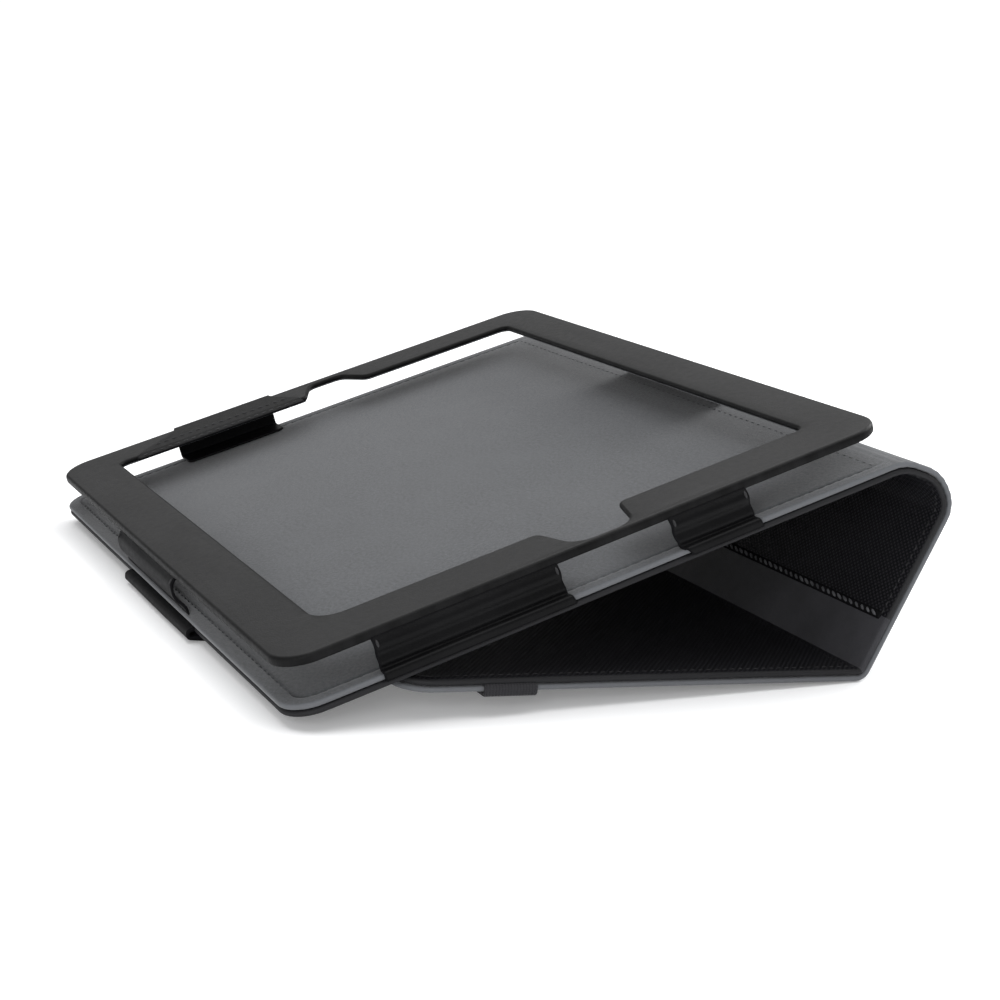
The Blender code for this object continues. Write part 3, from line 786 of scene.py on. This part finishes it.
def build_seam():
    """Thick sewn seam between the textile and the strip, on the outer side."""
    line = Line([(0, 0, 0), (2 * SKIN_HALF, 0, 0)])
    place, angle = RUN.at(SEAM)
    out = way(angle - math.pi / 2)
    along = way(angle)
    standing = 1.75 * MM            # the bead's middle, outside the run's middle surface
    half_width, half_height = 1.3 * MM, 0.8 * MM
    end = 3 * MM                    # the bead stops short of the skin's edge
    row_end = end + 1.5 * MM

    def seam_place(a, b, across):
        spot = place + out * (standing + b) + along * across
        return Vector((a - SKIN_HALF, *spot))

    def swell(distance, x, inset, side):
        ripple = math.sin(2 * math.pi * distance / (2.6 * MM))
        return side * 0.09 * MM * ripple * smooth(inset / (1.2 * MM))

    bead = Sheet(line, (end, 2 * SKIN_HALF - end), (-half_width, half_width), (-half_height, half_height),
                 seam_place, (True, True), corner=1.0 * MM, rounding=1.1 * MM, shape=swell,
                 step=0.65 * MM, fine=0.65 * MM, across=0.6 * MM).build()
    bead.stitch([(row_end, 0.0), (2 * SKIN_HALF - row_end, 0.0)], 1, pitch=3 * MM, length=3 * MM,
                width=0.9 * MM, slant=math.radians(24))
    # the bead's dark tab leather is the welt's own dark colour and also painted shade in the gaps along its
    # stitches
    bead = bead.finish("seam_welt_sewn", TAB_LEATHER, SEAM_THREAD)
    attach(bead, "upper_cover")
    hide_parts("seam_welt")


# ---------------- frame

def rounded(corners, turn=math.radians(9)):
    """Outline through corners given as (x, y, radius), each rounded to its radius."""
    points = []
    for index, (x, y, radius) in enumerate(corners):
        corner = Vector((x, y))
        before = Vector(corners[index - 1][:2]) - corner
        after = Vector(corners[(index + 1) % len(corners)][:2]) - corner
        half = before.angle(after) / 2
        start = corner + before.normalized() * radius / math.tan(half)
        end = corner + after.normalized() * radius / math.tan(half)
        middle = corner + (before.normalized() + after.normalized()).normalized() * radius / math.sin(half)
        sweep = (start - middle).angle_signed(end - middle)
        steps = max(2, round(abs(sweep) / turn))
        for step in range(steps + 1):
            points.append(middle + Matrix.Rotation(-sweep * step / steps, 2) @ (start - middle))
    return points


def grown(outline, margin):
    """Outline with every side moved outwards; it runs anticlockwise."""
    points = []
    for index, corner in enumerate(outline):
        before = (corner - outline[index - 1]).normalized()
        after = (outline[(index + 1) % len(outline)] - corner).normalized()
        normals = Vector((before.y + after.y, -before.x - after.x))
        points.append(corner + normals * margin / (1 + before.dot(after)))
    return points


FRAME_HALF = 121.5 * MM
FRAME_LOW, FRAME_HIGH = 1.6 * MM, 192.6 * MM
FRAME_CORNER = 11 * MM


def frame_outline():
    corners = ((-1, FRAME_LOW), (1, FRAME_LOW), (1, FRAME_HIGH), (-1, FRAME_HIGH))
    return rounded([(side * FRAME_HALF, y, FRAME_CORNER) for side, y in corners])


def window_outline():
    """Window of the frame, with a notch for the home button and one for the camera."""
    far, near, low, high = -104.5 * MM, 102 * MM, 20 * MM, 176 * MM
    home, camera = near + 17 * MM, far - 12.5 * MM
    return rounded([
        (far, low, 3 * MM),
        (near, low, 8 * MM),
        (near, 87 * MM, 3 * MM),
        (home, 91 * MM, 7 * MM),
        (home, 109 * MM, 7 * MM),
        (near, 113 * MM, 3 * MM),
        (near, high, 3 * MM),
        (far, high, 3 * MM),
        (far, 117 * MM, 4 * MM),
        (camera, 111 * MM, 4 * MM),
        (camera, 99 * MM, 4 * MM),
        (far, 93 * MM, 2 * MM),
    ])


def inside(point, outline):
    """True if a point lies in an outline."""
    crossings = False
    for index, corner in enumerate(outline):
        before = outline[index - 1]
        if (corner.y > point.y) != (before.y > point.y):
            cut = before.x + (corner.x - before.x) * (point.y - before.y) / (corner.y - before.y)
            crossings ^= point.x < cut
    return crossings


def cap(outer, window, spacing, height):
    """Triangles between two outlines, with points inside raised by height(x, y, inset)."""
    edge = np.array([tuple(point) for point in outer + window])
    grid = []
    columns = int(2 * FRAME_HALF / spacing)
    rows = int((FRAME_HIGH - FRAME_LOW) / spacing)
    for column in range(columns + 1):
        for row in range(rows + 1):
            x = -FRAME_HALF + column * spacing + (row % 2) * spacing / 2
            spot = Vector((x, FRAME_LOW + row * spacing))
            if inside(spot, outer) and not inside(spot, window):
                inset = np.hypot(*(edge - np.array(tuple(spot))).T).min()
                if inset > spacing * 0.6:
                    grid.append((spot, inset))
    points = outer + window + [spot for spot, _ in grid]
    heights = [height(point.x, point.y, 0.0) for point in outer + window]
    heights += [height(spot.x, spot.y, inset) for spot, inset in grid]
    count = len(outer)
    edges = [(index, (index + 1) % count) for index in range(count)]
    edges += [(count + index, count + (index + 1) % len(window)) for index in range(len(window))]
    spots, _, faces, origins, _, _ = delaunay_2d_cdt(points, edges, [], 0, 1e-7)
    levels = [heights[origin[0]] if origin else heights[0] for origin in origins]
    kept = []
    for face in faces:
        middle = sum((spots[index] for index in face), Vector((0, 0))) / len(face)
        if inside(middle, outer) and not inside(middle, window):
            kept.append(tuple(face))
    return [(spot.x, spot.y, z) for spot, z in zip(spots, levels)], kept


def plate(name, outer_rings, window_rings, swell, material):
    """Flat ring with shaped edges; rings are (inset or outset, height) from the top to below."""
    outer, window = frame_outline(), window_outline()
    verts, faces = [], []

    def height_of(level):
        return lambda x, y, inset: level + swell(x, y) * smooth(inset / (7 * MM))

    loops = []
    for outline, rings, sign in ((outer, outer_rings, -1), (window, window_rings, 1)):
        stack = []
        for inset, height in rings:
            ring = grown(outline, sign * inset * MM)
            stack.append(range(len(verts), len(verts) + len(ring)))
            verts += [(point.x, point.y, height * MM) for point in ring]
        loops.append(stack)
        for above, below in zip(stack, stack[1:]):
            for index in range(len(above)):
                after = (index + 1) % len(above)
                faces.append((above[index], above[after], below[after], below[index]))
    for end in (0, -1):
        inner = grown(outer, -outer_rings[end][0] * MM)
        around = grown(window, window_rings[end][0] * MM)
        level = height_of(outer_rings[end][1] * MM)
        points, triangles = cap(inner, around, 5 * MM, level)
        base = len(verts)
        verts += points
        faces += [tuple(base + index for index in triangle) for triangle in triangles]
    maps = [(x, y) for x, y, _ in verts]
    # edge value of the rings: on the leather it is painted shade on the lip, on the lining a lighter cut edge
    wear_and_shade_band, wear_and_shade = 1.6 * MM, 0.8
    edge = []
    for stack, rings in zip(loops, (outer_rings, window_rings)):
        for inset, _ in rings:
            edge += [max(0.0, 1 - inset * MM / wear_and_shade_band) * wear_and_shade] * len(stack[0])
    edge += [0.0] * (len(verts) - len(edge))
    placed = [panel_place(x, z, y) for x, y, z in verts]
    return finish_mesh(name, placed, faces, maps, edge, [0] * len(faces), (material,))


def frame_swell(x, y):
    slow = math.sin(x / (33 * MM) + 1.1) * math.sin(y / (27 * MM) + 0.3)
    quick = math.sin(x / (15 * MM) - y / (19 * MM))
    return (0.16 + 0.12 * slow + 0.05 * quick) * MM


def build_frame():
    outer = [(1.25, 15.84), (0.9, 15.8), (0.5, 15.66), (0.2, 15.38), (0.03, 15.0), (0, 14.5), (0, 13.9),
             (0.05, 13.35), (0.25, 13.08), (0.5, 13.0), (0.75, 13.08), (0.85, 13.4), (0.9, 14.2)]
    window = [(1.0, 15.84), (0.7, 15.8), (0.35, 15.66), (0.1, 15.4), (0, 15.1), (0, 14.7), (0.1, 14.4),
              (0.35, 14.25), (0.8, 14.2)]
    skin = plate("frame_leather_ring", outer, window, frame_swell, FRAME_LEATHER)
    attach(skin, "holder")
    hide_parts("frame_skin", "frame_board")
    outer = [(1.4, 14.12), (1.3, 14.05), (1.2, 13.85), (1.3, 13.66), (1.4, 13.6)]
    window = [(0.8, 14.12), (0.7, 14.05), (0.6, 13.85), (0.7, 13.66), (0.8, 13.6)]
    lining = plate("frame_lining_ring", outer, window, lambda x, y: 0.0, SUEDE)
    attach(lining, "holder")
    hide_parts("frame_lining")


# ---------------- walls

def wall(name, node, corners, span, place, foot_reach, material):
    """Side wall: its section, in millimetres, runs from under the frame down to its sewn foot.

    foot_reach is how far, in millimetres, the foot sticks out past either end of the span.
    """
    line = Line([(a * MM, b * MM, radius * MM) for a, b, radius in corners])
    low, high = span
    thickness = 0.9 * MM

    def sides(distance):
        part = max(distance / line.length, 0.0) ** 3
        return (low - foot_reach[0] * MM * part, high + foot_reach[1] * MM * part)

    def dents(distance, x, inset, side):
        slow = math.sin(x / (7 * MM) + 0.5) * math.sin(math.pi * distance / line.length)
        return 0.12 * MM * slow

    sheet = Sheet(line, (0.0, line.length), sides, (-thickness / 2, thickness / 2), place, (True, True),
                  corner=0.6 * MM, rounding=0.42 * MM, shape=dents, step=0.5 * MM, fine=0.3 * MM,
                  across=2.5 * MM).build()
    tack = {"pitch": 2.4 * MM, "length": 2.2 * MM, "width": 0.8 * MM}
    for x in (low + 1.1 * MM, high - 1.1 * MM):
        for side in (1, -1):
            sheet.stitch([(1.0 * MM, x), (3.4 * MM, x)], side, **tack)
    obj = sheet.finish(name, material, DARK_THREAD)
    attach(obj, "holder")
    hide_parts(node)


def build_walls():
    near = [(121.1, 13.5, 0), (122.9, 11.2, 2.2), (121.9, 8.6, 2.2), (122.9, 6.4, 1.8), (122.2, 4.3, 0.8),
            (124.8, 4.15, 0.6), (124.8, 1.7, 0)]
    wall("near_wall_low_sewn", "near_wall_low", near, (27 * MM, 83 * MM), panel_place, (0, 2), WALL_LEATHER)
    wall("near_wall_high_sewn", "near_wall_high", near, (118 * MM, 143.5 * MM), panel_place, (-4, 2),
         WALL_LEATHER)
    low = [(2.5, 13.4, 0), (0.3, 11.2, 2.5), (-0.2, 7.6, 3.0), (1.9, 4.9, 1.2), (0.7, 4.15, 0)]
    wall("low_wall_sewn", "low_wall", low, (-39 * MM, 23 * MM), low_edge_place, (-4, 10), TAB_LEATHER)
    spine = [(191.2, 13.4, 0), (191.8, 10.5, 2.5), (191.6, 6.5, 2.0), (191.3, 4.8, 0.4), (192.2, 4.15, 0)]
    wall("spine_wall_sewn", "spine_wall", spine, (-37 * MM, 28 * MM), low_edge_place, (0, 0), TAB_LEATHER)


def build_flap():
    """Tuck-in flap: over the far bar, down the side and in under the tablet."""
    over, under, side = 15.95 * MM, 4.74 * MM, -122.2 * MM
    line = Line([(-100.8 * MM, 15.2 * MM, 0), (-104 * MM, over, 4 * MM), (side, over, 1 * MM),
                 (side, under, 0.9 * MM), (-112.3 * MM, under, 0)])
    root, toe = line.bends[1], line.bends[2]
    middle = (root[2] + toe[0]) / 2
    leaf_sides = (46 * MM, 84 * MM)
    layer = (-0.4 * MM, 0.4 * MM)
    mesh = {"rounding": 0.4 * MM, "step": 1 * MM, "fine": 0.2 * MM, "across": 3 * MM}
    stitch = {"pitch": 3 * MM, "length": 2.2 * MM}

    def sides(distance):
        part = smooth(distance / root[0])
        return (26 + 20 * part) * MM, (91 - 7 * part) * MM

    patch = Sheet(line, (0.0, middle), sides, layer, panel_place, (True, False), corner=1.5 * MM, **mesh)
    patch.build()
    row = 8.5 * MM
    low, high = sides(row)
    patch.stitch([(row, low + 1.5 * MM), (row, high - 1.5 * MM)], -1, **stitch)
    patch.stitch([(1.6 * MM, 28 * MM), (1.6 * MM, 89 * MM)], -1, **stitch)
    patch = patch.finish("flap_patch_sewn", WALL_LEATHER, DARK_THREAD)
    tuck = Sheet(line, (middle, line.length), leaf_sides, layer, panel_place, (False, True),
                 corner=2 * MM, **mesh).build()
    tuck = tuck.finish("flap_leaf", WALL_LEATHER)

    def middle_place(a, b, across):
        return panel_place(a, b, 65 * MM + across)

    bend_over(patch, line, root[1], 0.7 * MM, 0.7 * MM, middle_place)
    bend_over(tuck, line, toe[1], 0.6 * MM, 0.6 * MM, middle_place)
    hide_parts("flap_patch", "flap_root_fold", "flap_side")
    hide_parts("flap_tuck", "flap_tuck_fold")


# ---------------- tab and strap

def build_tab():
    root = axis_place("tab_root_fold")
    bridge = axis_place("tab_bridge_fold")
    tip = axis_place("tab_tip_fold")
    start = panel_section(3 * MM, 1.3 * MM)
    line = Line([(*start, 0), (*root, 1 * MM), (*bridge, 1 * MM), (tip.x + 26 * MM, bridge.y, 0)])
    first, second = line.bends
    split = (first[2] + second[0]) / 2
    crease = second[2] + (tip.x - bridge.x) - second[3]
    near, far = -32 * MM, 38 * MM
    tip_corner, inset = 9 * MM, 2.6 * MM
    tip_start = crease - 6 * MM

    def layer(distance):
        half = (0.65 + 0.5 * smooth((distance - second[2]) / (4 * MM))) * MM
        half -= 0.25 * MM * math.exp(-((distance - crease) / (1.5 * MM)) ** 2)
        return -half, half

    def soft(distance, x, inset, side):
        wave = math.sin(x / (11 * MM) + 1) * math.sin(distance / (9 * MM))
        return side * 0.08 * MM * wave * smooth(inset / (1.5 * MM))

    def tab_piece(span, free=(False, False), corner=1 * MM):
        return Sheet(line, span, (near, far), layer, run_place, free, corner, 0.55 * MM, soft,
                     2.5 * MM, 0.12 * MM, THIN_STEPS, 3 * MM).build()

    link = tab_piece((0.0, split), (True, False))
    middle = tab_piece((split, tip_start))
    for x in (near + inset, far - inset):
        for side in (1, -1):
            middle.stitch([(second[2] + 2 * MM, x), (tip_start, x)], side)
    end = tab_piece((tip_start, line.length), (False, True), tip_corner)
    row = rounded_row(tip_start, line.length, (far - near) / 2, inset, tip_corner)
    for side in (1, -1):
        end.stitch([(distance, x + (near + far) / 2) for distance, x in row], side)
    names = ("tab_root_sewn", "tab_bridge_sewn", "tab_tip_sewn")
    pieces = [sheet.finish(name, TAB_LEATHER, DARK_THREAD) for name, sheet in zip(names, (link, middle, end))]
    bend_over(pieces[0], line, first[1], 0.35 * MM, 0.35 * MM)
    bend_over(pieces[1], line, second[1], 0.35 * MM, 0.35 * MM)
    bend_over(pieces[2], line, crease, 2 * MM, 2 * MM)
    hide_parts("tab_root_fold")
    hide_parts("tab_bridge_lining", "tab_bridge_core", "tab_bridge_leather")
    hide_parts("tab_tip_lining", "tab_tip_core", "tab_tip_leather", "tab_tip_fold")


def build_strap():
    """Elastic across the lining of the cover, its ends tucked in under the lining's edges."""
    below = box_centre("hand_strap").z < box_centre("lower_cover_board").z
    side = -1 if below == (PROP_NORMAL.y > 0) else 1
    edge = 124.6 * MM
    inner, outer = 0.1 * MM, 2.7 * MM
    line = Line([(-121 * MM, inner, 0), (-edge, inner, 0.8 * MM), (-edge, outer, 0.8 * MM),
                 (edge, outer, 0.8 * MM), (edge, inner, 0.8 * MM), (121 * MM, inner, 0)])

    def strap_place(a, b, across):
        return prop_place(a, b * side, across)

    sheet = Sheet(line, (0.0, line.length), (107 * MM, 123 * MM), (-0.5 * MM, 0.5 * MM), strap_place,
                  (True, True), corner=0.4 * MM, rounding=0.5 * MM, step=3 * MM, fine=0.2 * MM,
                  across=2 * MM).build()
    obj = sheet.finish("elastic_strap", ELASTIC)
    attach(obj, "lower_cover")
    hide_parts("hand_strap")


# ---------------- studio

def build_camera():
    yaw, pitch, roll = (math.radians(angle) for angle in (64.45, 12.52, -3.21))
    place = (602.1 * MM, -273.3 * MM, 177.6 * MM)
    ahead = Vector((-math.sin(yaw) * math.cos(pitch), math.cos(yaw) * math.cos(pitch), -math.sin(pitch)))
    right = Vector((math.cos(yaw), math.sin(yaw), 0))
    down = ahead.cross(right)
    turned = right * math.cos(roll) + down * math.sin(roll)
    up = right * math.sin(roll) - down * math.cos(roll)
    camera = bpy.data.cameras.new("camera")
    camera.lens = 74.38
    camera.sensor_width = 36
    camera.clip_end = 20
    turn = Matrix((turned, up, -ahead)).transposed().to_4x4()
    SCENE.camera = add_object("camera", camera)
    SCENE.camera.matrix_world = Matrix.Translation(place) @ turn


def camera_level(tree, other, camera):
    """One value as light and another as seen by the camera."""
    level = tree.nodes.new("ShaderNodeMapRange")
    level.inputs["To Min"].default_value = other
    level.inputs["To Max"].default_value = camera
    tree.links.new(tree.nodes.new("ShaderNodeLightPath").outputs["Is Camera Ray"], level.inputs["Value"])
    return level.outputs["Result"]


def build_floor():
    """Pale floor just under the table's level, a little brighter to the camera than it is lit."""
    half, drop = 6.0, 0.3 * MM
    material = bpy.data.materials.new("floor")
    material.use_nodes = True
    shader = material.node_tree.nodes["Principled BSDF"]
    shader.inputs["Base Color"].default_value = (0.93, 0.935, 0.945, 1)
    shader.inputs["Roughness"].default_value = 0.9
    shader.inputs["Specular IOR Level"].default_value = 0.0
    shader.inputs["Emission Color"].default_value = (1, 1, 1, 1)
    tree = material.node_tree
    tree.links.new(camera_level(tree, 0.0, 0.17), shader.inputs["Emission Strength"])
    mesh = bpy.data.meshes.new("floor")
    corners = [(-half, -half, 0), (half, -half, 0), (half, half, 0), (-half, half, 0)]
    mesh.from_pydata(corners, [], [(0, 1, 2, 3)])
    mesh.materials.append(material)
    floor = add_object("floor", mesh)
    floor.location = (0, 0, -drop)


def area_light(name, place, target, size, power):
    light = bpy.data.lights.new(name, "AREA")
    light.shape = "RECTANGLE"
    light.size, light.size_y = size
    light.energy = power
    obj = add_object(name, light)
    obj.location = place
    obj.rotation_euler = (Vector(target) - Vector(place)).to_track_quat("-Z", "Y").to_euler()


def build_studio():
    """White surroundings, dimmer as light than as backdrop, a wide soft sun and two soft boxes."""
    world = bpy.data.worlds.new("studio")
    world.use_nodes = True
    tree = world.node_tree
    background = tree.nodes["Background"]
    background.inputs[0].default_value = (1, 1, 1, 1)
    tree.links.new(camera_level(tree, 0.42, 1.05), background.inputs[1])
    SCENE.world = world
    sun = bpy.data.lights.new("sun", "SUN")
    sun.energy = 2.2
    sun.angle = math.radians(75)
    obj = add_object("sun", sun)
    obj.rotation_euler = Vector((-0.12, 0.12, 1)).to_track_quat("Z", "Y").to_euler()
    area_light("back", (-0.1, 0.75, 0.5), (0.05, 0.1, 0.05), (0.6, 0.4), 5)
    area_light("front", (0.75, -0.5, 0.28), (0.05, 0.08, 0.03), (0.5, 0.4), 3)
    SCENE.view_settings.view_transform = "Standard"


def finish_hidden():
    """Steel on the magnets and the catch plate, which keep their CAD solids."""
    for name in ("catch_plate", "tab_magnet_far", "tab_magnet_near"):
        node = frame["nodes"][name]
        for slot in node.material_slots:
            slot.material = STEEL


build_back()
build_spine()
build_upper_cover()
build_lower_cover()
build_seam()
build_frame()
build_walls()
build_flap()
build_tab()
build_strap()
finish_hidden()
build_camera()
build_floor()
build_studio()
